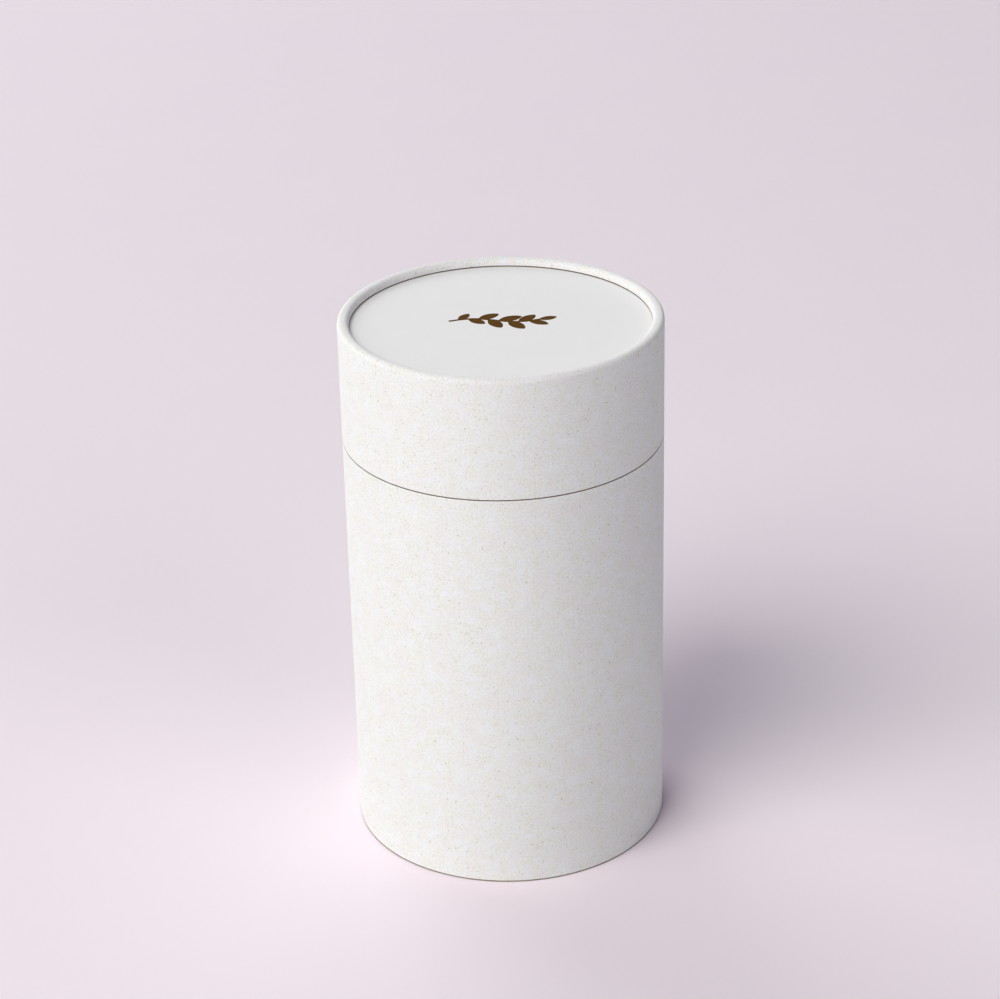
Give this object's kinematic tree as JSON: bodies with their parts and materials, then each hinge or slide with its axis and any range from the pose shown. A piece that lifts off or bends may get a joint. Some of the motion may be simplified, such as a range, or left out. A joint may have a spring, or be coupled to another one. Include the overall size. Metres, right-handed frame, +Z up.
{
  "type": "cardboard tube box",
  "caption": "Upright round paperboard tube box with a lift-off lid that has an inward rolled rim over a recessed disc, sliding on a glued inner neck.",
  "frame": {"origin": "centre of the foot, on the surface that the tube stands on", "axes": "+Z up along the tube's axis, towards the lid; -Y faces the picture's camera"},
  "size_m": [0.1, 0.1, 0.173],
  "materials": {
    "speckled_wrap": "matte",
    "lid_card": "matte",
    "grey_board": "matte"
  },
  "bodies": {
    "base": {"body_tube": "speckled_wrap", "neck_tube": "grey_board", "base_disc": "grey_board"},
    "lid": {"lid_tube": "speckled_wrap", "lid_disc": "lid_card"}
  },
  "joints": [
    {"name": "lid_slide", "type": "slide", "parent": "base", "child": "lid", "axis": [0, 0, 1], "range_m": [0, 0.032]}
  ]
}
